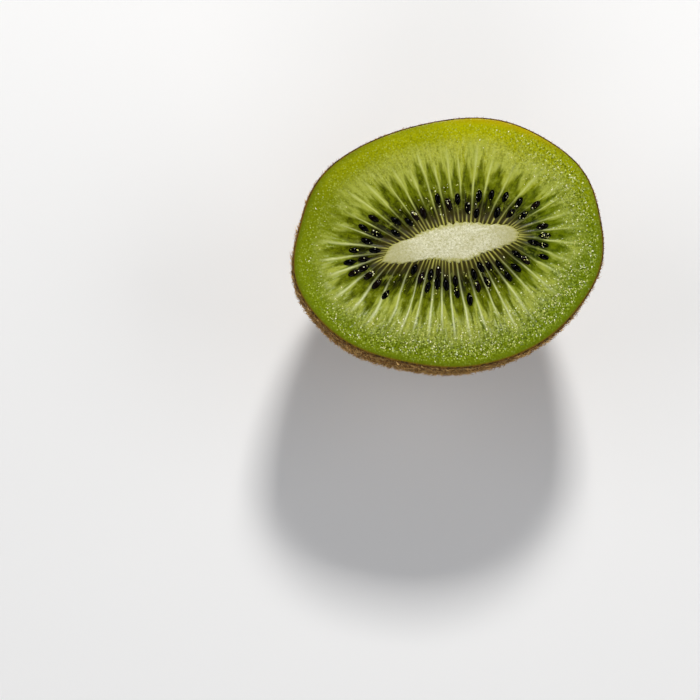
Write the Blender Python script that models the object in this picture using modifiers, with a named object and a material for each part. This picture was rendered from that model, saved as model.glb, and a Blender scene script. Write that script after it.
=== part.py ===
"""Half a kiwi fruit, cut straight across its middle and standing on its stem end with the cut face up.

Two solids: the flesh, with the skin as its outer surface and the seeds fused to its cut face, and the pale
core that runs down inside it. The origin is the middle of the small flat spot that the half rests on. X runs
along the long diameter of the oval cut, Y along the short one and Z up. All sizes are in metres.
"""

import math
import random

import bmesh
import bpy
from mathutils import Matrix, Vector

MM = 0.001

# The whole half. A lobe is (how many round the outline, height as a share of the radius, turn in degrees)
CUT_LENGTH = 56.2 * MM
CUT_WIDTH = 45.4 * MM
HALF_HEIGHT = 33 * MM
BLUNTNESS = 1.9  # 2 would make the outside an ellipsoid, and less draws its end in
OUTLINE_LOBES = (
    (2, 0.009, 90), (3, 0.012, 168), (4, 0.0075, 141), (5, 0.008, -73), (6, 0.003, 83), (7, 0.005, 180),
    (9, 0.004, -163),
)  # fmt: skip

# The core, a flattened spindle near the middle of the cut
CORE_LENGTH = 23.5 * MM
CORE_WIDTH = 6.34 * MM
CORE_DEPTH = 27 * MM
CORE_SHIFT = (0.37 * MM, -0.12 * MM)
CORE_LOBES = (
    (2, 0.029, 2), (3, 0.056, -134), (4, 0.062, 35), (5, 0.034, -43), (6, 0.059, -171), (7, 0.014, 95),
    (9, 0.009, -47),
)  # fmt: skip
CORE_CROWN = 0.2 * MM
CORE_GAP = 0.3 * MM
CROWN_LINE = ((0.0, 1.0), (0.6, 0.7))  # (share of the core's width, share of the crown)
CORE_TAPER = ((1.0, 0.0), (0.95, 0.25), (0.70, 0.64), (0.27, 0.93), (0.0, 1.0))  # (share of width, of depth)
POCKET_TAPER = ((0.0, 0.0), (0.3, 0.06), (0.72, 0.35), (0.96, 0.75))  # (share of width, of height)

# The seed chambers, which lie between pale walls that fan out from the core
CHAMBERS = 41
CHAMBER_WANDER = ((1, 0.042, 135), (2, 0.139, 92), (3, 0.024, -169), (5, 0.007, -106))
CHAMBER_DIP = 0.35 * MM
CHAMBER_SPAN = (0.02, 0.10, 0.42, 0.68)  # share of the way to the skin: dip begins, is full, eases, ends

# The seeds. A row's value is its share of the way from core to skin
SEED_LENGTH = 2.3 * MM
SEED_WIDTH = 1.12 * MM
SEED_THICKNESS = 1.05 * MM
SEED_PROUD = 0.12 * MM  # how far a seed's middle line stands above the floor of its chamber
SEED_BEAK = 0.35  # how much narrower a seed is at its pointed end
SEED_ROWS = {"a": 0.10, "b": 0.14, "c": 0.18, "d": 0.225, "e": 0.26, "f": 0.30, "g": 0.36, "h": 0.39}
SEED_SCATTER = 0.012
SEED_SWING = math.radians(9)
SEED_UNEVENNESS = 0.07
SEED_DRAW = 11
# The rows that show a seed in each chamber, from the core outwards. The cut missed the seeds of some chambers
SEEDS_ROUND = (
    "f - cg bf bf f ae b d c e - c c b d ag dg e bg "
    "dh dg d f h a c be ad d cf g be ae b cf e be g cf f"
)

# The stem scar under the half, a woody disc in a ring groove
FLAT_RADIUS = 6.6 * MM
SCAR_GROOVE = (5.9 * MM, 5.2 * MM, 4.5 * MM)
SCAR_DEPTH = 0.6 * MM

# How finely the solids are divided
STEPS_ROUND = 3 * CHAMBERS
CORE_STEPS_ROUND = 48
RIM_EASE = 0.3 * MM
DOME_BANDS = 12
CUT_RINGS = (0.0, 0.07, 0.18, 0.32, 0.48, 0.66, 0.85)
SEED_SIDES = 6
SEED_BANDS = 4
SMOOTH_BELOW = math.radians(40)

# The round blank that is turned first and then pressed to the fruit's oval
BLANK_CORE = 10 * MM
BLANK_SKIN = 25 * MM
OVAL_FROM = 4.6 * MM

MERGE = 0.01 * MM


def clear_scene():
    for old in list(bpy.data.objects):
        bpy.data.objects.remove(old, do_unlink=True)


def new_collection(name):
    collection = bpy.data.collections.new(name)
    bpy.context.scene.collection.children.link(collection)
    return collection


def finish(name, colour, roughness):
    """A plain Principled material."""
    material = bpy.data.materials.new(name)
    material.use_nodes = True
    shader = material.node_tree.nodes["Principled BSDF"]
    shader.inputs["Base Color"].default_value = (*colour, 1.0)
    shader.inputs["Roughness"].default_value = roughness
    shader.inputs["Metallic"].default_value = 0.0
    return material


def smoothstep(low, high, value):
    share = min(1.0, max(0.0, (value - low) / (high - low)))
    return share * share * (3 - 2 * share)


def lobed(turn, lobes):
    return sum(height * math.cos(count * turn - math.radians(phase)) for count, height, phase in lobes)


def skin_outline(turn):
    """The skin's edge on the cut, at this turn round the fruit."""
    swell = 1 + lobed(turn, OUTLINE_LOBES)
    return Vector((CUT_LENGTH / 2 * math.cos(turn), CUT_WIDTH / 2 * math.sin(turn))) * swell


def core_outline(turn, inset=0.0):
    """The core's edge on the cut, or a line this far inside it."""
    swell = 1 + lobed(turn, CORE_LOBES)
    oval = Vector(((CORE_LENGTH / 2 - inset) * math.cos(turn), (CORE_WIDTH / 2 - inset) * math.sin(turn)))
    return oval * swell + Vector(CORE_SHIFT)


def on_cut(turn, share):
    """The point this share of the way from the core's edge to the skin."""
    return core_outline(turn).lerp(skin_outline(turn), share)


def crowded(even_turn):
    """Even steps round the fruit, moved so that they crowd along the core's sides."""
    return even_turn + lobed(even_turn, CHAMBER_WANDER)


def chamber_dip(even_turn, share):
    """How far the cut face dips between two chamber walls. The walls stand at whole chambers of even turn."""
    begins, full, eases, ends = CHAMBER_SPAN
    along = smoothstep(begins, full, share) - smoothstep(eases, ends, share)
    across = 0.5 - 0.5 * math.cos(CHAMBERS * even_turn)
    return CHAMBER_DIP * along * across


def turned(name, profile, steps):
    """A mesh object made by turning a profile of (radius, height) points about Z."""
    mesh = bpy.data.meshes.new(name + "_profile")
    edges = [(i, i + 1) for i in range(len(profile) - 1)]
    mesh.from_pydata([(radius, 0, height) for radius, height in profile], edges, [])
    guide = bpy.data.objects.new(name + "_profile", mesh)
    bpy.context.scene.collection.objects.link(guide)
    screw = guide.modifiers.new("turn", "SCREW")
    screw.axis = "Z"
    screw.angle = 2 * math.pi
    screw.steps = screw.render_steps = steps
    screw.use_merge_vertices = True
    screw.merge_threshold = MERGE
    bpy.context.view_layer.update()
    graph = bpy.context.evaluated_depsgraph_get()
    solid = bpy.data.objects.new(name, bpy.data.meshes.new_from_object(guide.evaluated_get(graph)))
    solid.data.name = name
    bpy.data.objects.remove(guide)
    cage = bmesh.new()
    cage.from_mesh(solid.data)
    bmesh.ops.remove_doubles(cage, verts=cage.verts, dist=MERGE)
    bmesh.ops.recalc_face_normals(cage, faces=cage.faces)
    cage.to_mesh(solid.data)
    cage.free()
    return solid


def dome_section():
    """(radius, height) points down the outside of the blank, from just under the rim to the flat spot."""
    flat = FLAT_RADIUS / BLANK_SKIN
    flat_depth = (1 - flat**BLUNTNESS) ** (1 / BLUNTNESS)
    last = math.atan2(flat_depth, flat)
    points = []
    for band in range(1, DOME_BANDS):
        angle = last * band / DOME_BANDS
        wide, deep = math.cos(angle), math.sin(angle)
        reach = (wide**BLUNTNESS + deep**BLUNTNESS) ** (-1 / BLUNTNESS)
        points.append((BLANK_SKIN * reach * wide, HALF_HEIGHT * (1 - reach * deep / flat_depth)))
    return [(BLANK_SKIN, HALF_HEIGHT - RIM_EASE), *points, (FLAT_RADIUS, 0.0)]


def flesh_profile():
    """The blank's section, from the bottom of the core's pocket up, over the cut, down the skin and under."""
    pocket_floor = HALF_HEIGHT - CORE_DEPTH
    section = [(BLANK_CORE * wide, pocket_floor + CORE_DEPTH * up) for wide, up in POCKET_TAPER]
    section += [(BLANK_CORE + (BLANK_SKIN - BLANK_CORE) * share, HALF_HEIGHT) for share in CUT_RINGS]
    section.append((BLANK_SKIN - RIM_EASE, HALF_HEIGHT))
    section += dome_section()
    outer, deepest, inner = SCAR_GROOVE
    section += [(outer, 0.0), (deepest, SCAR_DEPTH), (inner, 0.0), (0.0, 0.0)]
    return section


def press_flesh(solid):
    """Presses the round blank to the oval fruit, and dips the chambers into the cut face."""
    core_middle = Vector(CORE_SHIFT)
    for vertex in solid.data.vertices:
        even_turn = math.atan2(vertex.co.y, vertex.co.x)
        radius, height = math.hypot(vertex.co.x, vertex.co.y), vertex.co.z
        turn = crowded(even_turn)
        if radius < BLANK_CORE + MERGE and height > HALF_HEIGHT - CORE_DEPTH - MERGE:
            place = core_middle.lerp(core_outline(turn), radius / BLANK_CORE)
        elif height > HALF_HEIGHT - MERGE:
            share = (radius - BLANK_CORE) / (BLANK_SKIN - BLANK_CORE)
            place = on_cut(turn, share)
            height -= chamber_dip(even_turn, share)
        else:
            # The flat spot stays nearly round, and the oval grows from it up to the cut
            round_place = Vector((math.cos(turn), math.sin(turn))) * radius
            oval_place = skin_outline(turn) * (radius / BLANK_SKIN)
            place = round_place.lerp(oval_place, smoothstep(OVAL_FROM, BLANK_SKIN, radius))
        vertex.co = (place.x, place.y, height)


def core_profile():
    """The core's section, from its crown on the cut down to its rounded lower end."""
    depth = CORE_DEPTH - CORE_GAP
    crown = [(BLANK_CORE * wide, HALF_HEIGHT + CORE_CROWN * up) for wide, up in CROWN_LINE]
    return crown + [(BLANK_CORE * wide, HALF_HEIGHT - depth * down) for wide, down in CORE_TAPER]


def press_core(solid):
    """Presses the round blank to the flattened spindle, which clears its pocket all round."""
    core_middle = Vector(CORE_SHIFT)
    for vertex in solid.data.vertices:
        turn = crowded(math.atan2(vertex.co.y, vertex.co.x))
        radius = math.hypot(vertex.co.x, vertex.co.y)
        place = core_middle.lerp(core_outline(turn, CORE_GAP), radius / BLANK_CORE)
        vertex.co = (place.x, place.y, vertex.co.z)


def seed_mesh():
    """One seed, lying along X with its pointed end at -X."""
    mesh = bpy.data.meshes.new("seed")
    cage = bmesh.new()
    bmesh.ops.create_uvsphere(cage, u_segments=SEED_SIDES, v_segments=SEED_BANDS, radius=0.5)
    bmesh.ops.rotate(cage, verts=cage.verts, matrix=Matrix.Rotation(math.pi / 2, 3, "Y"))
    for vertex in cage.verts:
        full = 1 - SEED_BEAK * smoothstep(0.1, 0.5, -vertex.co.x)
        across = Vector((1.0, full, full))
        vertex.co = vertex.co * across * Vector((SEED_LENGTH, SEED_WIDTH, SEED_THICKNESS))
    bmesh.ops.recalc_face_normals(cage, faces=cage.faces)
    cage.to_mesh(mesh)
    cage.free()
    return mesh


def seed_places():
    """Each seed's (even turn, share of the way to the skin, swing about Z, size), chamber by chamber."""
    draw = random.Random(SEED_DRAW)
    for chamber, rows in enumerate(SEEDS_ROUND.split()):
        even_turn = 2 * math.pi * (chamber + 0.5) / CHAMBERS
        for row in rows.strip("-"):
            share = SEED_ROWS[row] + draw.uniform(-SEED_SCATTER, SEED_SCATTER)
            swing = draw.uniform(-SEED_SWING, SEED_SWING)
            yield even_turn, share, swing, 1 + draw.uniform(-SEED_UNEVENNESS, SEED_UNEVENNESS)


def lay_seeds(collection):
    """Lays the seeds in their chambers, half sunk, each pointing at the core."""
    mesh = seed_mesh()
    for number, (even_turn, share, swing, size) in enumerate(seed_places()):
        turn = crowded(even_turn)
        here = on_cut(turn, share)
        outward = skin_outline(turn) - core_outline(turn)
        floor = HALF_HEIGHT - chamber_dip(even_turn, share)
        seed = bpy.data.objects.new(f"seed_{number:02d}", mesh)
        seed.location = (here.x, here.y, floor + SEED_PROUD)
        seed.rotation_euler.z = math.atan2(outward.y, outward.x) + swing
        seed.scale = (size, size, size)
        collection.objects.link(seed)


def fuse_seeds(flesh):
    """Joins the seeds to the flesh in one Boolean union, then removes the loose ones."""
    loose = new_collection("loose_seeds")
    lay_seeds(loose)
    union = flesh.modifiers.new("fuse_seeds", "BOOLEAN")
    union.operation = "UNION"
    union.solver = "EXACT"
    union.operand_type = "COLLECTION"
    union.collection = loose
    bpy.context.view_layer.update()
    graph = bpy.context.evaluated_depsgraph_get()
    fused = bpy.data.meshes.new_from_object(flesh.evaluated_get(graph))
    flesh.modifiers.clear()
    flesh.data = fused
    fused.name = flesh.name
    for seed in list(loose.objects):
        bpy.data.objects.remove(seed)
    bpy.data.collections.remove(loose)


def shade(solid, material):
    solid.data.materials.clear()
    solid.data.materials.append(material)
    solid.data.shade_smooth()
    solid.data.set_sharp_from_angle(angle=SMOOTH_BELOW)


def build():
    clear_scene()
    fruit = new_collection("kiwi_half")

    flesh = turned("flesh", flesh_profile(), STEPS_ROUND)
    fruit.objects.link(flesh)
    press_flesh(flesh)
    fuse_seeds(flesh)
    shade(flesh, finish("wet_green_flesh", (0.34, 0.42, 0.03), 0.3))

    core = turned("core", core_profile(), CORE_STEPS_ROUND)
    fruit.objects.link(core)
    press_core(core)
    shade(core, finish("pale_core", (0.68, 0.66, 0.44), 0.55))


build()
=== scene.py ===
"""The looks of a kiwi fruit half that stands on its stem end with its cut face up.

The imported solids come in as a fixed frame. Each class below models one part of the fruit over them: the wet
flesh with its chambers, the pale core, the seeds, the drops of juice, the thin skin, the stem scar and the
fuzz. They share the plan of the cut, so that walls, seeds and drops fall in the same places.
"""

import logging
import math
import random
from dataclasses import dataclass
from enum import Enum

import bpy
import numpy as np
from mathutils import Matrix, Vector, noise


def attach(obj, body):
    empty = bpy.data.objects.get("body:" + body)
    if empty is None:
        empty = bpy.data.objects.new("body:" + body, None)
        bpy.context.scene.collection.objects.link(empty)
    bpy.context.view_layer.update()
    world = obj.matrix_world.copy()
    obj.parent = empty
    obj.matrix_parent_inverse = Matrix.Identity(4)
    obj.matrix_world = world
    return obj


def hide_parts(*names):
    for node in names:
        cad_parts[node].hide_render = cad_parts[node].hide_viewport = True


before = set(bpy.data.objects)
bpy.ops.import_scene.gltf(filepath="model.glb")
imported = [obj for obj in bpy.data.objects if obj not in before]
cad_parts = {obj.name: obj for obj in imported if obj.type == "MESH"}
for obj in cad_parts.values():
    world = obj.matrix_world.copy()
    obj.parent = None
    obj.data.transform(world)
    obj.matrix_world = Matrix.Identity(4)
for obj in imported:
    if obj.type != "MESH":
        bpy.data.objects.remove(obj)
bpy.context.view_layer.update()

LOG = logging.getLogger("kiwi_half")

MM = 0.001
TINY = 0.005 * MM
CUT_HEIGHT = 33 * MM

# For each kind of hair its piece, how many grow, the shortest and longest, the thickness and the draw
HAIRS = (
    ("fuzz_long", 14000, (0.9 * MM, 1.6 * MM), 0.055 * MM, 3),
    ("fuzz_short", 19500, (0.5 * MM, 1.0 * MM), 0.035 * MM, 4),
    ("fuzz_down", 19500, (0.3 * MM, 0.6 * MM), 0.035 * MM, 5),
)


class Slot(Enum):
    """The record's material slots."""

    FLESH = "flesh"
    CORE = "core"
    SKIN = "skin"
    SEED = "seed"


class Node(Enum):
    """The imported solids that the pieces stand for."""

    FLESH = "flesh"
    CORE = "core"


class Row(Enum):
    """The rings in which seeds show, from the core outwards, as a share of the way to the skin."""

    A = 0.10
    B = 0.14
    C = 0.18
    D = 0.225
    E = 0.26
    F = 0.30
    G = 0.36
    H = 0.39


def linear(code: str) -> tuple[float, float, float, float]:
    """Turns an sRGB hex colour to linear.

    Args:
        code: The colour as "#rrggbb".

    Returns:
        Linear red, green and blue, and an alpha of 1.
    """
    channels = [int(code[place : place + 2], 16) / 255 for place in (1, 3, 5)]
    red, green, blue = (c / 12.92 if c <= 0.04045 else ((c + 0.055) / 1.055) ** 2.4 for c in channels)
    return red, green, blue, 1.0


def per(millimetres: float) -> float:
    """The scale that gives a noise or cell texture features of this size, on coordinates in metres."""
    return 1000.0 / millimetres


def smoothstep(low: float, high: float, value: np.ndarray) -> np.ndarray:
    """Eases from 0 at low to 1 at high.

    Args:
        low: Where the ease starts. It may lie above high, and the ease then falls.
        high: Where the ease ends.
        value: The values to ease.

    Returns:
        The eased values.
    """
    share = np.clip((value - low) / (high - low), 0.0, 1.0)
    return share * share * (3 - 2 * share)


def lobed(turn: np.ndarray, lobes: tuple[tuple[int, float, float], ...]) -> np.ndarray:
    """Adds up lobes round an outline.

    Args:
        turn: Turns in radians.
        lobes: For each, how many there are round the outline, its height and its turn in degrees.

    Returns:
        The sum of the lobes at each turn.
    """
    return sum(height * np.cos(count * turn - math.radians(phase)) for count, height, phase in lobes)


# The plan of the fruit


@dataclass(frozen=True)
class FruitPlan:
    """The fruit's outlines and chambers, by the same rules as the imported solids."""

    cut_length: float = 56.2 * MM
    cut_width: float = 45.4 * MM
    height: float = CUT_HEIGHT
    bluntness: float = 1.9
    outline_lobes: tuple = (
        (2, 0.009, 90),
        (3, 0.012, 168),
        (4, 0.0075, 141),
        (5, 0.008, -73),
        (6, 0.003, 83),
        (7, 0.005, 180),
        (9, 0.004, -163),
    )
    core_length: float = 23.5 * MM
    core_width: float = 6.34 * MM
    core_depth: float = 27 * MM
    core_shift: tuple = (0.37 * MM, -0.12 * MM)
    core_lobes: tuple = (
        (2, 0.029, 2),
        (3, 0.056, -134),
        (4, 0.062, 35),
        (5, 0.034, -43),
        (6, 0.059, -171),
        (7, 0.014, 95),
        (9, 0.009, -47),
    )
    chambers: int = 41
    wander: tuple = ((1, 0.042, 135), (2, 0.139, 92), (3, 0.024, -169), (5, 0.007, -106))
    dip: float = 0.35 * MM
    dip_span: tuple = (0.02, 0.10, 0.42, 0.68)
    flat_radius: float = 6.6 * MM
    oval_from: float = 4.6 * MM
    blank_core: float = 10 * MM
    blank_skin: float = 25 * MM

    def skin(self, turn: np.ndarray, inset: float = 0.0) -> np.ndarray:
        """The skin's outline on the cut.

        Args:
            turn: Turns in radians.
            inset: How far inside the outline.

        Returns:
            X and Y at each turn, along the last axis.
        """
        swell = 1 + lobed(turn, self.outline_lobes)
        across, along = self.cut_length / 2 - inset, self.cut_width / 2 - inset
        return np.stack([across * np.cos(turn) * swell, along * np.sin(turn) * swell], axis=-1)

    def core(self, turn: np.ndarray, grown: np.ndarray | float = 0.0) -> np.ndarray:
        """The core's outline on the cut.

        Args:
            turn: Turns in radians.
            grown: How far outside the outline.

        Returns:
            X and Y at each turn, along the last axis.
        """
        swell = 1 + lobed(turn, self.core_lobes)
        across, along = self.core_length / 2 + grown, self.core_width / 2 + grown
        oval = np.stack([across * np.cos(turn) * swell, along * np.sin(turn) * swell], axis=-1)
        return oval + np.array(self.core_shift)

    def on_cut(self, turn: np.ndarray, share: np.ndarray) -> np.ndarray:
        """The points this share of the way from the core's edge to the skin.

        Args:
            turn: Turns in radians.
            share: 0 at the core, 1 at the skin.

        Returns:
            X and Y of each point, along the last axis.
        """
        share = np.asarray(share)[..., None]
        return self.core(turn) * (1 - share) + self.skin(turn) * share

    def crowded(self, even_turn: np.ndarray) -> np.ndarray:
        """Moves even steps round the fruit so that they crowd along the core's sides."""
        return even_turn + lobed(even_turn, self.wander)

    def turn_of(self, chamber: np.ndarray) -> np.ndarray:
        """The turn at which a chamber number lies. Whole numbers are walls and halves are middles."""
        return self.crowded(2 * math.pi * np.asarray(chamber) / self.chambers)

    def chamber_width(self, chamber: np.ndarray, share: np.ndarray) -> np.ndarray:
        """How wide one chamber is across its walls, at each place on the cut."""
        ahead = self.on_cut(self.turn_of(chamber + 0.5), share)
        behind = self.on_cut(self.turn_of(chamber - 0.5), share)
        return np.linalg.norm(ahead - behind, axis=-1)

    def solid_dip(self, chamber: np.ndarray, share: np.ndarray) -> np.ndarray:
        """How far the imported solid's cut face dips between two walls."""
        begins, full, eases, ends = self.dip_span
        along = smoothstep(begins, full, share) - smoothstep(eases, ends, share)
        return self.dip * along * (0.5 - 0.5 * np.cos(2 * math.pi * chamber))

    def down_the_side(self, wide: np.ndarray, deep: np.ndarray) -> tuple[np.ndarray, np.ndarray]:
        """Where the outside of the blank lies in a direction from the middle of the cut.

        Args:
            wide: Cosine of the angle below the cut.
            deep: Sine of that angle.

        Returns:
            The blank's radius and the height above the table.
        """
        flat = self.flat_radius / self.blank_skin
        flat_depth = (1 - flat**self.bluntness) ** (1 / self.bluntness)
        reach = (wide**self.bluntness + deep**self.bluntness) ** (-1 / self.bluntness)
        return self.blank_skin * reach * wide, self.height * (1 - reach * deep / flat_depth)

    def press_side(self, turn: np.ndarray, radius: np.ndarray) -> np.ndarray:
        """Presses points of the round blank's outside to the fruit's oval.

        Args:
            turn: Turns in radians.
            radius: The blank's radius.

        Returns:
            X and Y of each point, along the last axis.
        """
        grown = smoothstep(self.oval_from, self.blank_skin, radius)[..., None]
        round_place = np.stack([np.cos(turn), np.sin(turn)], axis=-1) * radius[..., None]
        oval_place = self.skin(turn) * (radius / self.blank_skin)[..., None]
        return round_place * (1 - grown) + oval_place * grown


@dataclass(frozen=True)
class CutPattern:
    """How walls, gel and rays run over the cut, chamber by chamber.

    up is the turn of the cut's upper side in the picture, where rays are fainter and gel turns green sooner.
    leans_at gives the chambers round which the walls lean, and how far each lean reaches and how large it is.
    """

    plan: FruitPlan
    draw: int = 7
    knots: int = 7
    wall_shift: float = 0.10
    kink: float = 0.055
    flame_ends: tuple[float, float] = (0.57, 0.70)
    up: float = 1.265
    leans_at: tuple = ((25.2, 2.8, 0.55), (3.0, 2.2, -0.30))

    def _along(self, number: np.ndarray, share: np.ndarray, table: np.ndarray) -> np.ndarray:
        """Reads a table of one row a wall or chamber and one column a step outwards, smoothly outwards."""
        place = np.clip(share, 0.0, 0.999) * (table.shape[1] - 1)
        below = np.floor(place).astype(int)
        step = place - below
        step = step * step * (3 - 2 * step)
        return table[number, below] * (1 - step) + table[number, below + 1] * step

    def _streaks(
        self, chamber: np.ndarray, share: np.ndarray, across: float, along: float, seed: float
    ) -> np.ndarray:
        """Noise that is drawn out along the chambers and closes round the fruit.

        Args:
            chamber: Chamber numbers.
            share: 0 at the core, 1 at the skin.
            across: How many streaks lie in a chamber.
            along: How many follow each other from core to skin.
            seed: Moves the noise to another place.

        Returns:
            Values from -1 to 1.
        """
        count = self.plan.chambers
        angle = 2 * math.pi * chamber / count
        radius = count * across / (2 * math.pi)
        places = np.column_stack([radius * np.cos(angle), radius * np.sin(angle), along * share + seed])
        return np.array([noise.noise(Vector(place)) for place in places])

    def masks(self, chamber: np.ndarray, share: np.ndarray) -> dict[str, np.ndarray]:
        """Works out the masks that both the relief and the colours follow.

        Args:
            chamber: Chamber numbers, whole at the walls.
            share: 0 at the core, 1 at the skin.

        Returns:
            gel, 1 in a chamber's gel; tip, 1 towards its greener outer end; ray, 1 in the pale flesh that a
            wall widens to; haze, 1 where the rays run together; inner, 1 in the olive zone against the core.
            For the shader's lines: sine, 0 on a wall; cosine, 0 halfway between two; sharp, how thin the
            lines are; and wall and comb, how clearly those on the walls and those halfway show.
        """
        generator = np.random.default_rng(self.draw)
        count = self.plan.chambers
        upward = np.cos(self.plan.turn_of(chamber) - self.up)
        width = self.plan.chamber_width(chamber, share)
        for at, reach, lean in self.leans_at:
            bell = np.exp(-(((chamber - at) / reach) ** 2))
            chamber = chamber - lean * bell * smoothstep(0.05, 0.60, share)
        kinks = np.cumsum(generator.uniform(-self.kink, self.kink, (count, self.knots)), axis=1)
        kinks += generator.uniform(-self.wall_shift, self.wall_shift, (count, 1))
        strengths = generator.uniform(0.55, 1.0, (count, self.knots))
        reaches = generator.uniform(0.66, 0.84, count)
        ends = generator.uniform(*self.flame_ends, count)
        leans = generator.uniform(-0.12, 0.12, count)
        comb_ends = generator.uniform(0.09, 0.24, count)
        faint = generator.uniform(0.08, 0.60, count)

        # Each wall's own kinks move it and half of the chambers on both sides of it
        below = np.floor(chamber).astype(int)
        here = chamber - below
        shift_low = self._along(below % count, share, kinks)
        shift_high = self._along((below + 1) % count, share, kinks)
        across = (here - shift_low) / (1 + shift_high - shift_low)
        wide_streaks = self._streaks(chamber, share, 2.6, 4.0, 3.0)
        thin_streaks = self._streaks(chamber, share, 6.5, 6.0, 8.0)
        across += 0.05 * wide_streaks * smoothstep(0.10, 0.35, share)
        number = below % count
        wall = (number + (across > 0.5)) % count

        # A wall starts faint between the seeds, clears and widens past them, and dies away in the outer flesh
        half = 0.125 + 0.025 * smoothstep(0.10, 0.34, share) + 0.08 * smoothstep(0.42, 0.66, share)
        half *= MM
        clear = 1 - (1 - faint[wall]) * smoothstep(0.0, 0.10, share) * smoothstep(0.36, 0.22, share)
        shown = self._along(wall, share, strengths) * clear * (1 + 0.4 * thin_streaks)
        shown *= smoothstep(reaches[wall], reaches[wall] - 0.22, share)

        # Finer lines leave the core between the walls and end among the seeds
        comb_end = comb_ends[number]
        comb = self._along(number, share, strengths) * smoothstep(comb_end, comb_end - 0.16, share)
        comb *= 1 + 0.8 * wide_streaks

        # The gel fills its chamber past the seeds, and then narrows quickly to a ragged point
        ragged = 0.050 * wide_streaks + 0.065 * thin_streaks
        middle = 0.5 + leans[number] * smoothstep(0.30, 0.60, share)
        to_wall = np.minimum(np.abs(2 * (across - middle)), 1.0) ** 1.2
        worn = share + ragged + 0.25 * to_wall * smoothstep(0.22, 0.42, share)
        end = ends[number] - 0.04 * smoothstep(0.2, 0.8, -upward)
        gel = smoothstep(end + 0.05, end - 0.09, worn)
        topmost = smoothstep(0.2, 0.8, upward)
        later = 0.03 - 0.06 * upward**2 - 0.03 * topmost
        tip = smoothstep(0.26 + later, 0.43 + later, share + 0.9 * ragged + 0.05 * to_wall)

        # Outside the gel the pale flesh of the rays fades into the outer flesh
        ray = smoothstep(0.36, 0.54, worn) * smoothstep(reaches[wall] + 0.06, reaches[wall] - 0.16, share)
        ray *= (1 - gel) * (1 - 0.35 * topmost) * (0.66 + 0.8 * wide_streaks + 0.9 * thin_streaks)
        ray = np.clip(ray, 0.0, 1.0)
        haze = smoothstep(0.46, 0.60, share + ragged) * smoothstep(0.86, 0.70, share + ragged)
        haze *= (0.8 + 0.7 * wide_streaks) * smoothstep(0.2, 0.7, np.abs(upward)) * (1 + 0.35 * upward)

        inner = smoothstep(0.20, 0.05, share + ragged)
        return {
            "gel": gel,
            "tip": tip,
            "ray": ray,
            "haze": np.clip(haze, 0.0, 1.0),
            "inner": inner,
            "sine": np.sin(math.pi * (below + across)),
            "cosine": np.cos(math.pi * (below + across)),
            "sharp": width / (math.pi * half),
            "wall": np.clip(shown, 0.0, 1.0),
            "comb": np.clip(comb, 0.0, 1.0),
        }


# Small tools for meshes and shaders


class Graph:
    """A material's node tree.

    Inputs go by name, or by number where that is shorter or names repeat: MapRange has its value at 0, the
    range that comes in at 1 and 2 and the one that goes out at 3 and 4; Mix has its share at 0 and its
    colours at 6 and 7; Math and VectorMath have their terms at 0 and 1.
    """

    def __init__(self, name: str) -> None:
        """Starts an empty material of this name."""
        self.material = bpy.data.materials.new(name)
        self.material.use_nodes = True
        self.tree = self.material.node_tree
        self.tree.nodes.clear()

    def add(
        self, kind: str, inputs: dict | None = None, give: int | str = 0, **settings: object
    ) -> bpy.types.NodeSocket | None:
        """Adds a node with its settings, values and links.

        Args:
            kind: The node's type without "ShaderNode".
            inputs: For each input a number, a vector, a colour as "#rrggbb", or the output that feeds it.
            give: Which of the node's outputs to give back.
            settings: The node's own properties.

        Returns:
            That output, or nothing for a node that has none.
        """
        node = self.tree.nodes.new(f"ShaderNode{kind}")
        for name, value in settings.items():
            setattr(node, name, value)
        for key, value in (inputs or {}).items():
            if isinstance(value, bpy.types.NodeSocket):
                self.tree.links.new(value, node.inputs[key])
            else:
                node.inputs[key].default_value = linear(value) if isinstance(value, str) else value
        return node.outputs[give] if len(node.outputs) else None

    def layered(
        self,
        colour: str | bpy.types.NodeSocket,
        *layers: tuple[bpy.types.NodeSocket, str | bpy.types.NodeSocket],
    ) -> bpy.types.NodeSocket:
        """Lays colours over a first one, in turn.

        Args:
            colour: The first colour.
            layers: The share of each layer and its colour.

        Returns:
            The colour that shows.
        """
        for share, layer in layers:
            colour = self.add("Mix", {0: share, 6: colour, 7: layer}, 2, data_type="RGBA")
        return colour

    def line(self, wave: str, clear: str) -> bpy.types.NodeSocket:
        """Draws soft lines where a stored wave crosses 0.

        Args:
            wave: The attribute that holds the wave.
            clear: The attribute that says how clearly a line shows.

        Returns:
            The line's share at each place.
        """
        add = self.add
        offset, sharp, strength = (
            add("Attribute", give="Fac", attribute_name=name) for name in (wave, "sharp", clear)
        )
        away = add("Math", {0: offset, 1: sharp}, operation="MULTIPLY")
        square = add("Math", {0: away, 1: away}, operation="MULTIPLY")
        bell = add("Math", {0: add("Math", {0: square, 1: -1.0}, operation="MULTIPLY")}, operation="EXPONENT")
        return add("Math", {0: bell, 1: strength}, operation="MULTIPLY", use_clamp=True)

    def close(self, surface: bpy.types.NodeSocket) -> bpy.types.Material:
        """Feeds the surface and gives back the material."""
        self.add("OutputMaterial", {"Surface": surface})
        return self.material


def deselect() -> None:
    """Clears the selection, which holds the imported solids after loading."""
    if bpy.context.mode != "OBJECT":
        bpy.ops.object.mode_set(mode="OBJECT")
    bpy.ops.object.select_all(action="DESELECT")


def edit_all() -> None:
    """Goes into edit mode with everything selected."""
    bpy.ops.object.mode_set(mode="EDIT")
    bpy.ops.mesh.select_all(action="SELECT")


def select_rim() -> None:
    """Selects the open rim alone."""
    bpy.ops.mesh.select_all(action="DESELECT")
    bpy.ops.mesh.select_non_manifold()


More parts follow.
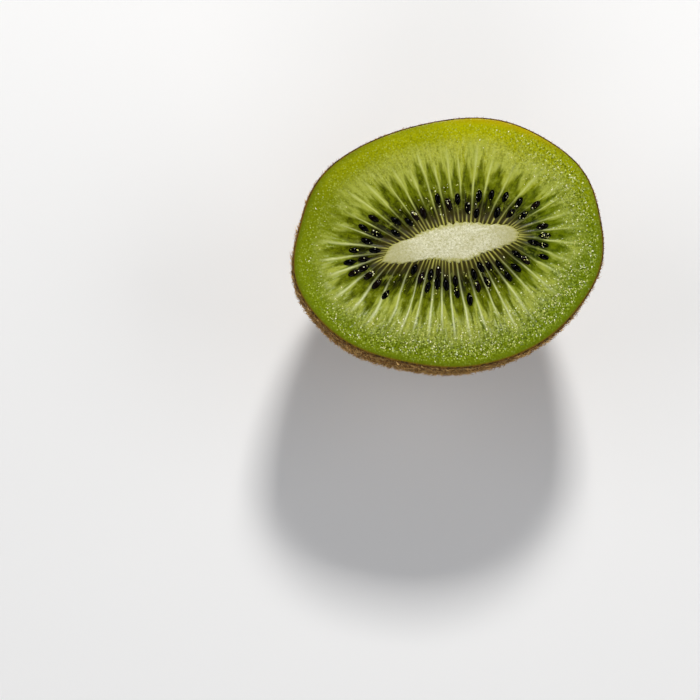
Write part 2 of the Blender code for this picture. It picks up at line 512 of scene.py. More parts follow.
def draw_in(shrink: float, centre: tuple[float, float, float], rise: float = 0.0) -> None:
    """Extrudes the selected ring, shrinks it towards a centre and raises it.

    Args:
        shrink: The new ring's size as a share of the old one's.
        centre: The point that it shrinks towards.
        rise: How far it goes up.
    """
    bpy.ops.mesh.extrude_region_move()
    bpy.ops.transform.resize(value=(shrink, shrink, 1), center_override=centre)
    if rise:
        bpy.ops.transform.translate(value=(0, 0, rise))


def close_ring(rise: float = 0.0) -> None:
    """Extrudes the selected ring, raises it and merges it to one point."""
    bpy.ops.mesh.extrude_region_move()
    if rise:
        bpy.ops.transform.translate(value=(0, 0, rise))
    bpy.ops.mesh.merge(type="CENTER")


def close_shape() -> None:
    """Turns all faces outwards and leaves edit mode."""
    bpy.ops.mesh.select_all(action="SELECT")
    bpy.ops.mesh.normals_make_consistent(inside=False)
    bpy.ops.object.mode_set(mode="OBJECT")


def named(name: str) -> bpy.types.Object:
    """Names the object that was just added, and its mesh."""
    piece = bpy.context.object
    piece.name = piece.data.name = name
    return piece


def start_ring(name: str, corners: int, radius: float, height: float = 0.0) -> bpy.types.Object:
    """Adds a level circle with its place in its mesh, and goes into edit mode with it selected.

    Args:
        name: The piece's name.
        corners: How many points the circle has.
        radius: Its radius.
        height: Its height above the table.

    Returns:
        The new piece.
    """
    deselect()
    place = (0, 0, height)
    bpy.ops.mesh.primitive_circle_add(vertices=corners, radius=radius, fill_type="NOTHING", location=place)
    piece = named(name)
    bpy.ops.object.transform_apply(location=True, rotation=False, scale=False)
    edit_all()
    return piece


def points_of(piece: bpy.types.Object) -> np.ndarray:
    """Reads a mesh's points as rows of X, Y and Z."""
    points = np.empty(len(piece.data.vertices) * 3)
    piece.data.vertices.foreach_get("co", points)
    return points.reshape(-1, 3)


def move_points(piece: bpy.types.Object, points: np.ndarray) -> None:
    """Moves a mesh's points to new places."""
    piece.data.vertices.foreach_set("co", points.ravel())
    piece.data.update()


def keep_values(piece: bpy.types.Object, name: str, values: np.ndarray) -> None:
    """Stores one number a point as an attribute for the shader."""
    layer = piece.data.attributes.new(name, "FLOAT", "POINT")
    layer.data.foreach_set("value", values.astype(np.float32))


def wobble(points: np.ndarray, size: float, seed: float) -> np.ndarray:
    """Smooth noise from -1 to 1.

    Args:
        points: Rows of X, Y and Z.
        size: How far apart its bumps are.
        seed: Moves the noise to another place.

    Returns:
        One value a point.
    """
    return np.array([noise.noise(Vector(point) / size + Vector((seed, -seed, 3 * seed))) for point in points])


def finish_piece(piece: bpy.types.Object, node: Node, slot: Slot, material: bpy.types.Material) -> None:
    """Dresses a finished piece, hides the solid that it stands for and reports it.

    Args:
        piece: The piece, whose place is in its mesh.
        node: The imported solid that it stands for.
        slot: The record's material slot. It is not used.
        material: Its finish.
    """
    piece.data.materials.clear()
    piece.data.materials.append(material)
    piece.data.shade_smooth()
    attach(piece, "root")
    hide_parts(node.value)
    LOG.info("%s: %d faces, %s", piece.name, len(piece.data.polygons), material.name)


def lay_copies(name: str, model: bpy.types.Object, places: list[Matrix]) -> bpy.types.Object:
    """Joins many copies of a small model in one mesh, and removes the model.

    Args:
        name: The new piece's name.
        model: The small model, whose place is in its mesh.
        places: The transform of each copy.

    Returns:
        The new piece, with each copy's own random number in the attribute "own".
    """
    points = points_of(model)
    faces = [list(polygon.vertices) for polygon in model.data.polygons]
    corners = np.array([corner for face in faces for corner in face])
    sizes = np.array([len(face) for face in faces])
    transforms = np.array([np.array(place) for place in places])
    moved = np.einsum("nij,pj->npi", transforms[:, :3, :3], points) + transforms[:, None, :3, 3]
    copies = len(places)
    steps = np.arange(copies)[:, None] * len(points)
    mesh = bpy.data.meshes.new(name)
    mesh.vertices.add(copies * len(points))
    mesh.vertices.foreach_set("co", moved.ravel())
    mesh.loops.add(copies * len(corners))
    mesh.loops.foreach_set("vertex_index", (corners[None] + steps).ravel().astype(np.int32))
    mesh.polygons.add(copies * len(faces))
    starts = np.concatenate([[0], np.cumsum(np.tile(sizes, copies))[:-1]])
    mesh.polygons.foreach_set("loop_start", starts.astype(np.int32))
    mesh.update(calc_edges=True)
    mesh.validate()
    piece = bpy.data.objects.new(name, mesh)
    bpy.context.scene.collection.objects.link(piece)
    own = np.random.default_rng(len(places)).uniform(size=copies)
    keep_values(piece, "own", np.repeat(own, len(points)))
    bpy.data.objects.remove(model)
    return piece


# The finishes


@dataclass(frozen=True)
class WetFleshFinish:
    """Fresh kiwi flesh cut with a knife: wet, a little see-through, with dark gel between pale walls."""

    outer: str = "#7c8806"
    # Painted light on the side toward the key light, and painted shade on the near side turned from it
    outer_painted_light: str = "#b0b200"
    outer_painted_shade: str = "#7a8c0c"
    outer_far: str = "#5c8200"
    haze: str = "#ccd070"
    grain_dark: str = "#424e00"
    # Pale dots: partly cells cut open, partly painted glints
    grain_pale_and_glint: str = "#c4d062"
    gel: str = "#181900"
    gel_tip: str = "#606a04"
    wall: str = "#c2c972"
    # Paler walls on the near side: a painted sheen
    wall_painted_sheen: str = "#dde3b0"
    ray: str = "#a8b046"
    olive: str = "#302a00"
    comb: str = "#bdb956"
    # The darker band under the skin and the brown rim line fade out on the lit side, so they are partly
    # painted shade
    under_skin: str = "#5c6a08"
    rim: str = "#7a5410"
    # Painted glow: golden, for light shining through the thin flesh at the upper right rim
    painted_glow: str = "#bca404"
    # The direction of the side that gets the painted light
    lit_side_direction: tuple = (0.30, 0.95, 0.0)
    # The direction of the painted glow
    glow_side: tuple = (0.397, 0.918, 0.0)
    green_end: tuple = (0.95, -0.30, 0.0)
    cell_size: float = 0.22
    cell_tilt: float = 0.80

    def material(self) -> bpy.types.Material:
        """Builds the finish.

        Returns:
            The material. It reads the pattern's masks, share and grainy as attributes, and the cut's UV map.
        """
        graph = Graph("fresh_cut_kiwi_flesh")
        add, layered = graph.add, graph.layered
        place = add("TexCoord", give="Object")
        gel, tip, ray, haze, inner, share, grainy = (
            add("Attribute", give="Fac", attribute_name=name)
            for name in ("gel", "tip", "ray", "haze", "inner", "share", "grainy")
        )
        side, glow_place, far = (
            add("VectorMath", {0: place, 1: toward}, "Value", operation="DOT_PRODUCT")
            for toward in (self.lit_side_direction, self.glow_side, self.green_end)
        )

        # The side toward the key light is painted yellower and lighter as painted light, and the near side
        # turned from it is painted cooler and greener as painted shade, with soft clouds between
        clouds = add("TexNoise", {"Vector": place, "Scale": per(9.0), "Detail": 2.0})
        patchy = add("Math", {0: clouds, 1: 0.5}, operation="ADD")
        painted_lit_side = add("MapRange", {0: side, 1: 0.004, 2: 0.021})
        painted_lit_side = add("Math", {0: painted_lit_side, 1: patchy}, operation="MULTIPLY", use_clamp=True)
        painted_shaded_side = add("MapRange", {0: side, 1: 0.002, 2: -0.014})
        thin_haze = add("Math", {0: haze, 1: 0.34}, operation="MULTIPLY")
        colour = layered(self.outer, (painted_shaded_side, self.outer_painted_shade), (painted_lit_side, self.outer_painted_light))
        colour = layered(colour, (thin_haze, self.haze))

        # Cells show as a fine grain: dark gaps, and pale dots that are partly cells cut open and partly
        # painted glints
        dots = add("TexVoronoi", {"Vector": place, "Scale": per(1.7 * self.cell_size)}, "Distance")
        fine = add("TexNoise", {"Vector": place, "Scale": per(0.38), "Detail": 3.0, "Roughness": 0.75})
        gaps = add("MapRange", {0: fine, 1: 0.56, 2: 0.36})
        near = add("MapRange", {0: dots, 1: 0.46, 2: 0.22})
        own = add("MapRange", {0: add("SeparateColor", {0: dots.node.outputs["Color"]}), 1: 0.10, 2: 0.8})
        opened_and_glint = add("Math", {0: near, 1: own}, operation="MULTIPLY")
        dark, pale = (add("Math", {0: grain, 1: grainy}, operation="MULTIPLY") for grain in (gaps, opened_and_glint))
        colour = layered(colour, (dark, self.grain_dark), (pale, self.grain_pale_and_glint))

        # Fibres fan out from the core, so they follow the chambers and not the table
        uv = add("UVMap", uv_map="cut")
        stretched = add("Mapping", {"Vector": uv, "Scale": (5.5, 0.45, 1.0)})
        fibres = add("TexNoise", {"Vector": stretched, "Scale": 1.0, "Detail": 3.0, "Roughness": 0.65})
        fibrous = add("MapRange", {0: share, 1: 0.86, 2: 0.62})
        pale_fibre, dark_fibre = (
            add(
                "Math",
                {0: add("MapRange", {0: fibres, 1: 0.50, 2: full, 4: 0.60}), 1: fibrous},
                operation="MULTIPLY",
            )
            for full in (0.68, 0.33)
        )
        # On the shaded near side the walls are painted paler, a painted sheen
        walls = layered(self.wall, (painted_shaded_side, self.wall_painted_sheen))
        rays = layered(self.ray, (dark_fibre, self.gel_tip))
        colour = layered(colour, (pale_fibre, walls), (dark_fibre, self.grain_dark), (ray, rays))

        # Gel is darkest beside the seeds, greener towards the tips of the chambers, and cloudy all through
        cloudy = add("TexNoise", {"Vector": place, "Scale": per(1.3), "Detail": 4.0, "Roughness": 0.7})
        gel_colour = layered(
            self.gel,
            (tip, self.gel_tip),
            (add("MapRange", {0: fibres, 1: 0.48, 2: 0.70, 4: 0.60}), self.outer),
            (add("MapRange", {0: cloudy, 1: 0.55, 2: 0.72, 4: 0.50}), self.ray),
            (add("MapRange", {0: cloudy, 1: 0.50, 2: 0.34, 4: 0.70}), self.gel),
            (add("MapRange", {0: fibres, 1: 0.47, 2: 0.33, 4: 0.55}), self.gel),
            (inner, self.olive),
        )
        wall, comb = graph.line("sine", "wall"), graph.line("cosine", "comb")
        lines = add("Math", {0: wall, 1: comb}, operation="MAXIMUM")
        colour = layered(colour, (gel, gel_colour), (lines, layered(walls, (inner, self.comb))))

        # One end is greener. Under the skin the flesh is darker, a band that fades out on the lit side and so
        # is partly painted shade; near the upper right rim the flesh is painted golden, a painted glow for
        # light shining through the thin flesh
        greener = add("MapRange", {0: far, 1: 0.009, 2: 0.024, 4: 0.24})
        lit = add("Math", {0: painted_lit_side, 1: 0.9}, operation="MULTIPLY")
        shaded = add("Math", {0: 1.0, 1: lit}, operation="SUBTRACT")
        in_glow = add("MapRange", {0: glow_place, 1: 0.0205, 2: 0.0240})
        edge, painted_glow, rim = (
            add(
                "Math",
                {0: add("MapRange", {0: share, 1: begins, 2: ends, 4: most}), 1: where},
                operation="MULTIPLY",
            )
            for begins, ends, most, where in (
                # The darker band and the rim line follow the shaded mask: partly painted shade
                (0.93, 0.985, 0.8, shaded),
                (0.925, 0.995, 0.85, in_glow),
                (0.984, 0.998, 0.8, shaded),
            )
        )
        colour = layered(
            colour, (greener, self.outer_far), (edge, self.under_skin), (painted_glow, self.painted_glow), (rim, self.rim)
        )

        # The knife leaves burst cells, each a small wet facet that glitters, while gel lies smoother
        cells = add("TexVoronoi", {"Vector": place, "Scale": per(self.cell_size)}, "Color")
        facet = add("VectorMath", {0: cells, 1: (0.5, 0.5, 0.5)}, operation="SUBTRACT")
        burst = add("Math", {0: grainy, 1: 1.8}, operation="POWER")
        burst = add("Math", {0: burst, 1: 0.18}, operation="MAXIMUM")
        tilt = add("MapRange", {0: gel, 3: self.cell_tilt, 4: 0.4 * self.cell_tilt})
        tilt = add("Math", {0: tilt, 1: burst}, operation="MULTIPLY")
        facet = add("VectorMath", {0: facet, "Scale": tilt}, operation="SCALE")
        normal = add("Bump", {"Strength": 0.7, "Distance": 0.05 * MM, "Height": lines})
        normal = add("VectorMath", {0: normal, 1: facet}, operation="ADD")
        matt = add("Math", {0: inner, 1: lines}, operation="MAXIMUM")
        wet_flesh = {
            "Base Color": colour,
            "Roughness": add("MapRange", {0: matt, 3: 0.22, 4: 0.50}),
            "Normal": add("VectorMath", {0: normal}, operation="NORMALIZE"),
            "IOR": 1.36,
            "Specular IOR Level": 0.22,
            "Subsurface Weight": 0.12,
            "Subsurface Radius": (1.0, 0.9, 0.25),
            "Subsurface Scale": 0.6 * MM,
        }
        return graph.close(add("BsdfPrincipled", wet_flesh, subsurface_method="RANDOM_WALK"))


@dataclass(frozen=True)
class CoreFinish:
    """The kiwi's core: dense, matt and cream, with a grain like fine sand and a yellow-green edge."""

    cream: str = "#eae8cd"
    cream_shade: str = "#aca86c"
    edge: str = "#a5a23c"

    def material(self) -> bpy.types.Material:
        """Builds the finish. It reads the attributes fringe and tips."""
        graph = Graph("dense_cream_kiwi_core")
        add = graph.add
        place = add("TexCoord", give="Object")
        near_edge, tips = (add("Attribute", give="Fac", attribute_name=name) for name in ("fringe", "tips"))
        grain = add("TexNoise", {"Vector": place, "Scale": per(0.42), "Detail": 4.0, "Roughness": 0.85})
        clouds = add("TexNoise", {"Vector": place, "Scale": per(2.6), "Detail": 2.0})
        shade = add("MapRange", {0: grain, 1: 0.60, 2: 0.36, 4: 0.95})
        cloud = add("MapRange", {0: clouds, 1: 0.45, 2: 0.75, 4: 0.35})
        fringe = add("Math", {0: shade, 1: 0.5, 2: 0.65}, operation="MULTIPLY_ADD")
        fringe = add("Math", {0: fringe, 1: near_edge}, operation="MULTIPLY", use_clamp=True)
        shades = ((share, self.cream_shade) for share in (shade, cloud, tips))
        dense_core = {
            "Base Color": graph.layered(self.cream, *shades, (fringe, self.edge)),
            "Roughness": 0.5,
            "Normal": add("Bump", {"Strength": 0.5, "Distance": 0.05 * MM, "Height": grain}),
            "IOR": 1.38,
            "Subsurface Weight": 0.3,
            "Subsurface Radius": (1.0, 0.9, 0.6),
            "Subsurface Scale": 0.8 * MM,
        }
        return graph.close(add("BsdfPrincipled", dense_core, subsurface_method="RANDOM_WALK"))


@dataclass(frozen=True)
class SeedFinish:
    """A kiwi seed's coat: hard, almost black, and glossy under a film of gel."""

    coat: str = "#010101"
    coat_worn: str = "#180e0a"

    def material(self) -> bpy.types.Material:
        """Builds the finish. It reads each seed's own number."""
        graph = Graph("glossy_black_seed_coat")
        add = graph.add
        pits = add("TexVoronoi", {"Vector": add("TexCoord", give="Object"), "Scale": per(0.22)}, "Distance")
        own = add("Attribute", give="Fac", attribute_name="own")
        worn = add("MapRange", {0: own, 1: 0.6, 4: 0.7})
        coat = {
            "Base Color": graph.layered(self.coat, (worn, self.coat_worn)),
            "Roughness": 0.08,
            "Normal": add("Bump", {"Strength": 0.15, "Distance": 0.03 * MM, "Height": pits}),
            "IOR": 1.40,
            "Specular IOR Level": 0.09,
        }
        return graph.close(add("BsdfPrincipled", coat))


@dataclass(frozen=True)
class JuiceFinish:
    """Juice that wells up in drops on the cut: clear and pale, with many drops painted near white, a painted
    glint for where they catch the light.
    """

    tint: str = "#ced070"
    # The near-white colour of the painted glint
    painted_glint: str = "#fffcd4"

    def material(self) -> bpy.types.Material:
        """Builds the finish. Each drop's painted glint is as strong as its own number says."""
        graph = Graph("drops_of_kiwi_juice")
        own = graph.add("Attribute", give="Fac", attribute_name="own")
        # How much painted glint each drop gets, by its own number
        painted_glint = graph.add("MapRange", {0: own, 1: 0.35, 2: 0.95})
        colour = graph.layered(self.tint, (painted_glint, self.painted_glint))
        drop = {"Base Color": colour, "Roughness": 0.16, "IOR": 1.4, "Specular IOR Level": 0.4}
        return graph.close(graph.add("BsdfPrincipled", drop))


@dataclass(frozen=True)
class SkinFinish:
    """Kiwi skin: thin, dry and papery, brown over green, with darker corky specks."""

    brown: str = "#644410"
    pale: str = "#94702a"
    dark: str = "#2a1802"
    olive: str = "#5a4c10"
    cut_edge: str = "#6e4e14"
    cut_dark: str = "#2e1d04"

    def material(self) -> bpy.types.Material:
        """Builds the finish.

        Returns:
            The material.
        """
        graph = Graph("papery_brown_kiwi_skin")
        add = graph.add
        place = add("TexCoord", give="Object")
        clouds = add("TexNoise", {"Vector": place, "Scale": per(7.0), "Detail": 4.0})
        scales = add("TexNoise", {"Vector": place, "Scale": per(0.7), "Detail": 4.0, "Roughness": 0.7})
        specks = add("TexVoronoi", {"Vector": place, "Scale": per(1.1)}, "Distance")

        # The knife leaves the skin's edge dark and damp
        level = add("SeparateXYZ", {0: place}, "Z")
        cut = add("MapRange", {0: level, 1: CUT_HEIGHT - 0.25 * MM, 2: CUT_HEIGHT})
        rim = graph.layered(self.cut_dark, (add("MapRange", {0: scales, 1: 0.42, 2: 0.56}), self.cut_edge))
        colour = graph.layered(
            self.brown,
            (add("MapRange", {0: clouds, 1: 0.48, 2: 0.68, 4: 0.55}), self.olive),
            (add("MapRange", {0: scales, 1: 0.50, 2: 0.72, 4: 0.9}), self.pale),
            (add("MapRange", {0: specks, 1: 0.30, 2: 0.12, 4: 0.8}), self.dark),
            (cut, rim),
        )
        height = add("Math", {0: scales, 1: 0.6, 2: specks}, operation="MULTIPLY_ADD")
        papery_skin = {
            "Base Color": colour,
            "Roughness": 0.72,
            "Normal": add("Bump", {"Strength": 0.6, "Distance": 0.12 * MM, "Height": height}),
            "IOR": 1.45,
            "Specular IOR Level": 0.2,
        }
        return graph.close(add("BsdfPrincipled", papery_skin))


@dataclass(frozen=True)
class FuzzFinish:
    """Kiwi fuzz: short dry hairs, from dark brown to gold."""

    brown: str = "#845310"
    gold: str = "#ffd688"

    def material(self) -> bpy.types.Material:
        """Builds the finish. Each hair has its own tone in the attribute own."""
        graph = Graph("dry_kiwi_fuzz")
        own = graph.add("Attribute", give="Fac", attribute_name="own")
        colour = graph.layered(self.brown, (own, self.gold))
        hair = {"Base Color": colour, "Roughness": 0.55, "IOR": 1.5, "Specular IOR Level": 0.25}
        return graph.close(graph.add("BsdfPrincipled", hair))


@dataclass(frozen=True)
class ScarFinish:
    """The stem scar: dry, woody and cracked, dark brown with a grey middle where the stalk broke off."""

    wood: str = "#5a3a1c"
    dark: str = "#2e1b0c"
    grey: str = "#8c7c62"

    def material(self) -> bpy.types.Material:
        """Builds the finish. It reads the attributes high and middle."""
        graph = Graph("dry_woody_stem_scar")
        add = graph.add
        place = add("TexCoord", give="Object")
        high, middle = (add("Attribute", give="Fac", attribute_name=name) for name in ("high", "middle"))
        flakes = add("TexNoise", {"Vector": place, "Scale": per(0.6), "Detail": 5.0, "Roughness": 0.75})
        flaky = graph.layered(self.dark, (add("MapRange", {0: flakes, 1: 0.35, 2: 0.7}), self.wood))
        bump = add("Bump", {"Strength": 0.8, "Distance": 0.15 * MM, "Height": flakes})
        # Dark where the under side is cut deeper, flaky wood where it stays high, grey in the middle
        colour = graph.layered(self.dark, (high, flaky), (middle, self.grey))
        return graph.close(
            add("BsdfPrincipled", {"Base Color": colour, "Roughness": 0.85, "Normal": bump, "IOR": 1.45})
        )


# The fruit


@dataclass
class Flesh:
    """The green flesh: a cut face with dipped chambers round a pocket for the core, and a hidden outside."""

    plan: FruitPlan
    pattern: CutPattern
    steps_a_chamber: int = 18
    rings: int = 108
    side_bands: int = 10
    skin_thickness: float = 0.18 * MM
    pocket_levels: tuple = ((0.96, 0.75), (0.72, 0.35), (0.3, 0.06))
    gel_dip: float = 0.20
    solid_share: float = 0.50
    grain_height: float = 0.035 * MM
    grain_size: float = 0.8 * MM
    inset_below: float = 20 * MM
    uv_length: float = 18.0

    def build(self) -> bpy.types.Object:
        """Models the flesh.

        Returns:
            The dressed piece.
        """
        plan = self.plan
        piece = start_ring("flesh_body", plan.chambers * self.steps_a_chamber, plan.blank_skin, plan.height)
        self._extrude_cut_and_pocket()
        self._extrude_side()
        close_shape()
        self._press(piece)
        finish_piece(piece, Node.FLESH, Slot.FLESH, WetFleshFinish().material())
        return piece

    def _extrude_cut_and_pocket(self) -> None:
        """Extrudes the rim inwards, ring by ring, and then down into the pocket."""
        plan = self.plan
        centre = (0, 0, plan.height)
        radii = np.linspace(plan.blank_skin, plan.blank_core, self.rings + 1)
        for outer, inner in zip(radii, radii[1:]):
            draw_in(inner / outer, centre)
        width, level = 1.0, 1.0
        for wide, up in self.pocket_levels:
            draw_in(wide / width, centre, (up - level) * plan.core_depth)
            width, level = wide, up
        close_ring(-level * plan.core_depth)

    def _extrude_side(self) -> None:
        """Extrudes the open rim down the side and closes it at the bottom."""
        plan = self.plan
        select_rim()
        radius, height = plan.blank_skin, plan.height
        for band in range(1, self.side_bands + 1):
            angle = 0.5 * math.pi * band / (self.side_bands + 1)
            next_radius, next_height = plan.down_the_side(math.cos(angle), math.sin(angle))
            draw_in(next_radius / radius, (0, 0, height), next_height - height)
            radius, height = next_radius, next_height
        close_ring()

    def _press(self, piece: bpy.types.Object) -> None:
        """Presses the round blank to the oval fruit, raises its relief and stores what the finish reads."""
        plan = self.plan
        points = points_of(piece)
        even_turn = np.arctan2(points[:, 1], points[:, 0]) % (2 * math.pi)
        radius, height = np.hypot(points[:, 0], points[:, 1]), points[:, 2]
        chamber = even_turn * plan.chambers / (2 * math.pi)
        turn = plan.crowded(even_turn)
        on_face = (height > plan.height - TINY) & (radius > plan.blank_core - TINY)
        in_pocket = (radius < plan.blank_core) & (height > plan.height - plan.core_depth - TINY) & ~on_face
        share = np.clip((radius - plan.blank_core) / (plan.blank_skin - plan.blank_core), 0.0, 1.0)

        edge = plan.skin(turn, self.skin_thickness)
        flat = plan.core(turn) * (1 - share[:, None]) + edge * share[:, None]
        middle = np.array(plan.core_shift)
        pocket = middle + (plan.core(turn) - middle) * (radius / plan.blank_core)[:, None]
        side = plan.press_side(turn, radius) * (1 - self.skin_thickness / np.maximum(radius, MM))[:, None]
        new = np.where(on_face[:, None], flat, np.where(in_pocket[:, None], pocket, side))

        masks = self.pattern.masks(chamber, share)
        relief = -plan.dip * self.gel_dip * masks["gel"] - self.solid_share * plan.solid_dip(chamber, share)
        relief *= 1 - 0.5 * np.cos(turn) ** 2
        grain = np.zeros(len(points))
        grain[on_face] = wobble(np.column_stack([new, height])[on_face], self.grain_size, 5.0)
        relief += self.grain_height * grain * smoothstep(0.45, 0.70, share)
        height = np.where(on_face, height + relief, height)
        raised = np.maximum(height, 0.0) + self.skin_thickness * smoothstep(self.inset_below, 0.0, height)
        height = np.where(~on_face & ~in_pocket, raised, height)
        move_points(piece, np.column_stack([new, height]))

        for name, values in masks.items():
            keep_values(piece, name, np.where(on_face, values, 0.0))
        keep_values(piece, "share", np.where(on_face, share, 1.0))
        rightward, onward = new[:, 0] / (plan.cut_length / 2), new[:, 1] / (plan.cut_width / 2)
        grainy = 0.44 + 0.56 * smoothstep(0.25, -0.75, onward - 0.2 * rightward)
        grainy = np.clip(grainy + 0.5 * smoothstep(0.3, 0.9, rightward), 0.0, 1.0)
        grainy *= smoothstep(0.30, 0.60, share) * (1 - 0.35 * smoothstep(0.90, 0.96, share))
        keep_values(piece, "grainy", grainy)
        self._map_cut(piece, chamber, share)

    def _map_cut(self, piece: bpy.types.Object, chamber: np.ndarray, share: np.ndarray) -> None:
        """Lays a UV map over the cut: chamber number across and share outwards, with no step at the last one.

        Args:
            piece: The flesh.
            chamber: Each point's chamber number.
            share: Each point's share of the way to the skin.
        """
        mesh = piece.data
        corners = np.empty(len(mesh.loops), np.int32)
        mesh.loops.foreach_get("vertex_index", corners)
        starts = np.empty(len(mesh.polygons), np.int32)
        mesh.polygons.foreach_get("loop_start", starts)
        across = chamber[corners]
        highest = np.maximum.reduceat(across, starts)
        sizes = np.diff(np.append(starts, len(corners)))
        over_seam = np.repeat(highest, sizes) - across > self.plan.chambers / 2
        across = across + over_seam * self.plan.chambers
        layer = mesh.uv_layers.new(name="cut")
        pairs = np.column_stack([across, share[corners] * self.uv_length])
        layer.data.foreach_set("uv", pairs.ravel().astype(np.float32))


@dataclass
class Core:
    """The cream core: a flattened spindle that fills its pocket, with teeth where the walls leave it."""

    plan: FruitPlan
    steps_a_chamber: int = 18
    rings: int = 26
    crown: float = 0.2 * MM
    tooth: float = 0.34 * MM
    overlap: float = 0.05 * MM
    reach: float = 0.985
    levels: tuple = ((0.93, 0.12), (0.95, 0.25), (0.70, 0.64), (0.27, 0.93))

    def build(self) -> bpy.types.Object:
        """Models the core.

        Returns:
            The dressed piece.
        """
        plan = self.plan
        centre, depth = (0, 0, plan.height), plan.core_depth * self.reach
        piece = start_ring("core_spindle", plan.chambers * self.steps_a_chamber, plan.blank_core, plan.height)
        radii = np.linspace(plan.blank_core, plan.blank_core * 0.03, self.rings + 1)
        for outer, inner in zip(radii, radii[1:]):
            draw_in(inner / outer, centre)
        close_ring()
        select_rim()
        width, level = 1.0, 0.0
        for wide, down in self.levels:
            draw_in(wide / width, centre, (level - down) * depth)
            width, level = wide, down
        close_ring((level - 1) * depth)
        close_shape()
        self._press(piece)
        finish_piece(piece, Node.CORE, Slot.CORE, CoreFinish().material())
        return piece

    def _press(self, piece: bpy.types.Object) -> None:
        """Presses the round blank to the spindle, with teeth on its edge and a low crown."""
        plan = self.plan
        points = points_of(piece)
        even_turn = np.arctan2(points[:, 1], points[:, 0]) % (2 * math.pi)
        radius, height = np.hypot(points[:, 0], points[:, 1]), points[:, 2]
        chamber = even_turn * plan.chambers / (2 * math.pi)
        share = radius / plan.blank_core
        turn = plan.crowded(even_turn)
        on_top = height > plan.height - TINY
        phase = np.abs(chamber - np.round(chamber))
        generator = np.random.default_rng(5)
        size = generator.uniform(0.5, 1.0, plan.chambers)[np.round(chamber).astype(int) % plan.chambers]
        teeth = self.tooth * size * np.exp(-((phase / 0.22) ** 2))
        rim = np.column_stack([plan.core(turn), np.zeros(len(turn))])
        ragged = 0.26 * MM * wobble(rim, 0.8 * MM, 3.0) + 0.14 * MM * wobble(rim, 0.3 * MM, 7.0)
        grown = np.where(on_top, (self.overlap + teeth + ragged) * smoothstep(0.75, 1.0, share), -0.30 * MM)
        middle = np.array(plan.core_shift)
        outline = plan.core(turn, grown)
        new = middle + (outline - middle) * share[:, None]
        rise = self.crown * (1 - share**2) + 0.03 * MM - 0.10 * MM * smoothstep(0.93, 1.0, share)
        bumps = np.zeros(len(points))
        bumps[on_top] = wobble(np.column_stack([new, height])[on_top], 0.5 * MM, 2.0)
        height = np.where(on_top, height + rise + 0.02 * MM * bumps, height)
        move_points(piece, np.column_stack([new, height]))
        to_edge = np.linalg.norm(outline - new, axis=1)
        keep_values(piece, "fringe", np.where(on_top, smoothstep(1.0 * MM, 0.0, to_edge), 1.0))
        along = np.abs(new[:, 0] - plan.core_shift[0]) / (plan.core_length / 2)
        keep_values(piece, "tips", 0.75 * smoothstep(0.40, 0.95, along))


@dataclass
class Seeds:
    """The black seeds, each lying in its chamber with its pointed end towards the core."""

    plan: FruitPlan
    length: float = 2.3 * MM
    width: float = 1.12 * MM
    thickness: float = 1.05 * MM
    proud: float = 0.12 * MM
    beak: float = 0.35
    scatter: float = 0.012
    swing: float = math.radians(9)
    unevenness: float = 0.07
    draw: int = 11
    shown: str = (
        "f - cg bf bf f ae b d c e - c c b d ag dg e bg "
        "dh dg d f h a c be ad d cf g be ae b cf e be g cf f"
    )

    def places(self) -> list[tuple[float, float, float, float]]:
        """Finds where the seeds lie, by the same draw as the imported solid.

        Returns:
            For each seed its chamber number, share of the way to the skin, swing about Z and size.
        """
        draw = random.Random(self.draw)
        found = []
        for number, rows in enumerate(self.shown.split()):
            chamber = number + 0.5
            for row in rows.strip("-"):
                share = Row[row.upper()].value + draw.uniform(-self.scatter, self.scatter)
                swing = draw.uniform(-self.swing, self.swing)
                found.append((chamber, share, swing, 1 + draw.uniform(-self.unevenness, self.unevenness)))
        return found

    def tops(self, points: np.ndarray) -> np.ndarray:
        """Finds how high the seeds reach over points of the cut.

        Args:
            points: Rows of X and Y.

        Returns:
            The height of the seed over each point, or 0 where none lies.
        """
        plan = self.plan
        highest = np.zeros(len(points))
        for chamber, share, swing, size in self.places():
            turn = plan.turn_of(chamber)
            outward = plan.skin(turn) - plan.core(turn)
            heading = math.atan2(outward[1], outward[0]) + swing
            off = points - plan.on_cut(turn, share)
            along = off @ [math.cos(heading), math.sin(heading)] / (0.5 * self.length * size)
            aside = off @ [-math.sin(heading), math.cos(heading)] / (0.5 * self.width * size)
            bulge = np.sqrt(np.clip(1 - along**2 - aside**2, 0.0, 1.0))
            floor = plan.height - float(plan.solid_dip(np.array(chamber), np.array(share)))
            top = floor + self.proud + 0.5 * self.thickness * size * bulge
            highest = np.where(bulge > 0.1, np.maximum(highest, top), highest)
        return highest

    def build(self) -> bpy.types.Object:
        """Models one seed and lays a copy of it at each place.

        Returns:
            The dressed piece.
        """
        plan = self.plan
        seed = self._seed()
        transforms = []
        for chamber, share, swing, size in self.places():
            turn = plan.turn_of(chamber)
            here = plan.on_cut(turn, share)
            outward = plan.skin(turn) - plan.core(turn)
            floor = plan.height - float(plan.solid_dip(np.array(chamber), np.array(share)))
            place = Matrix.Translation((here[0], here[1], floor + self.proud))
            place @= Matrix.Rotation(math.atan2(outward[1], outward[0]) + swing, 4, "Z")
            transforms.append(place @ Matrix.Scale(size, 4))
        piece = lay_copies("seed_ring", seed, transforms)
        finish_piece(piece, Node.FLESH, Slot.SEED, SeedFinish().material())
        return piece

    def _seed(self) -> bpy.types.Object:
        """Models one seed along X, narrower at its pointed end.

        Returns:
            The seed.
        """
        deselect()
        bpy.ops.mesh.primitive_uv_sphere_add(segments=16, ring_count=10, radius=0.5)
        seed = named("one_seed")
        edit_all()
        bpy.ops.transform.rotate(value=math.pi / 2, orient_axis="Y", center_override=(0, 0, 0))
        bpy.ops.object.mode_set(mode="OBJECT")
        points = points_of(seed)
        full = 1 - self.beak * smoothstep(0.1, 0.5, -points[:, 0])
        points[:, 1:] *= full[:, None]
        move_points(seed, points * np.array([self.length, self.width, self.thickness]))
        return seed


